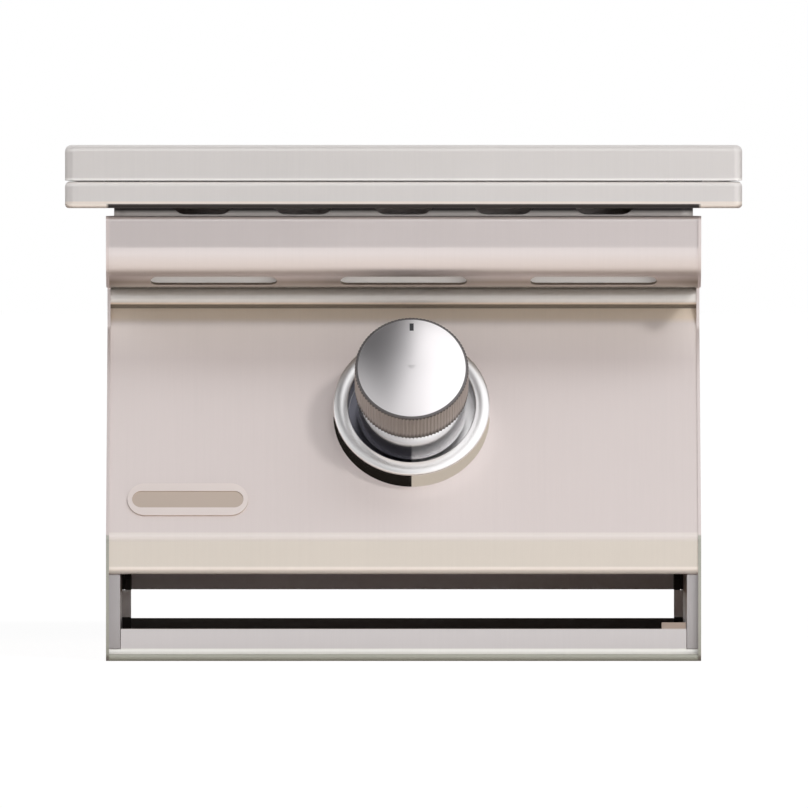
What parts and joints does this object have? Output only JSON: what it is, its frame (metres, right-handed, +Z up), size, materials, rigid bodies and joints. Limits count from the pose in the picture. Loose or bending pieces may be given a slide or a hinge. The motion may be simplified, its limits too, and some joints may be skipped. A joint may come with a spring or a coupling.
{
  "type": "built in side burner",
  "caption": "Drop-in gas side burner for an outdoor kitchen: flat hinged lid and trim over a bullnose with vent slots and a sloping control panel with a knob.",
  "frame": {"origin": "below the middle of the whole object, on the plane its base stands on", "axes": "+X to the user's right, +Y to the back, +Z up; the control panel faces -Y"},
  "size_m": [0.3364, 0.531, 0.2566],
  "materials": {
    "stainless": "satin",
    "plated": "polished",
    "knob_face": "turned",
    "badge": "satin",
    "mark": "matte",
    "steel": "zinc plated",
    "steel_bar": "satin bar",
    "iron": "matte enamel",
    "brass": "machined",
    "tube": "drawn",
    "aluminised": "rolled",
    "ceramic": "glazed",
    "rubber": "matte",
    "plastic": "matte",
    "lead": "silicone"
  },
  "bodies": {
    "chassis": {"side_wall_left": "stainless", "side_wall_right": "stainless", "front_rail": "stainless", "rear_rail": "stainless", "rear_wall": "stainless", "neck_collar": "stainless", "top_trim": "stainless", "bullnose": "stainless", "control_panel": "stainless", "panel_screws": "steel", "nameplate": "badge", "heat_shield": "aluminised", "knob_bezel": "plated", "bezel_screws": "steel", "valve_bonnet": "brass", "valve_body": "brass", "orifice_hood": "brass", "gas_manifold": "tube", "inlet_fitting": "brass", "inlet_locknut": "brass", "venturi_tube": "aluminised", "burner_bowl": "stainless", "burner_base": "iron", "burner_nut": "steel", "burner_ring": "brass", "burner_cap": "iron", "grate_frame": "steel_bar", "grate_bars": "steel_bar", "igniter_module": "plastic", "electrode_insulator": "ceramic", "electrode_bracket": "steel", "electrode_rod": "steel", "igniter_lead": "lead", "hinge_leaves_fixed": "stainless", "hinge_pins": "steel", "hinge_rivets": "steel"},
    "lid": {"lid_shell": "stainless", "lid_liner": "stainless", "lid_bumpers": "rubber", "hinge_leaves_lid": "stainless", "lid_rivets": "steel"},
    "valve_plug": {"valve_plug": "brass", "valve_spring": "steel"},
    "knob": {"valve_stem": "steel", "knob_body": "plated", "knob_cap": "knob_face", "knob_pointer": "mark"},
    "air_shutter": {"air_shutter": "steel", "shutter_screw": "steel"}
  },
  "joints": [
    {"name": "lid_hinge", "type": "hinge", "parent": "chassis", "child": "lid", "pos_m": [0, 0.25154, 0.2421], "axis": [-1, 0, 0], "range_deg": [0, 95]},
    {"name": "knob_turn", "type": "hinge", "parent": "chassis", "child": "valve_plug", "pos_m": [0.004, -0.2041, 0.1209], "axis": [0, -0.891, 0.454], "range_deg": [0, 180]},
    {"name": "knob_push", "type": "slide", "parent": "valve_plug", "child": "knob", "axis": [0, 0.891, -0.454], "range_m": [0, 0.004], "stiffness_N_per_m": 1500, "springref_m": -0.003, "deforming": ["valve_spring"]},
    {"name": "air_shutter_turn", "type": "hinge", "parent": "chassis", "child": "air_shutter", "pos_m": [0, -0.11702, 0.10456], "axis": [0, 1, 0], "range_deg": [0, 50]}
  ]
}
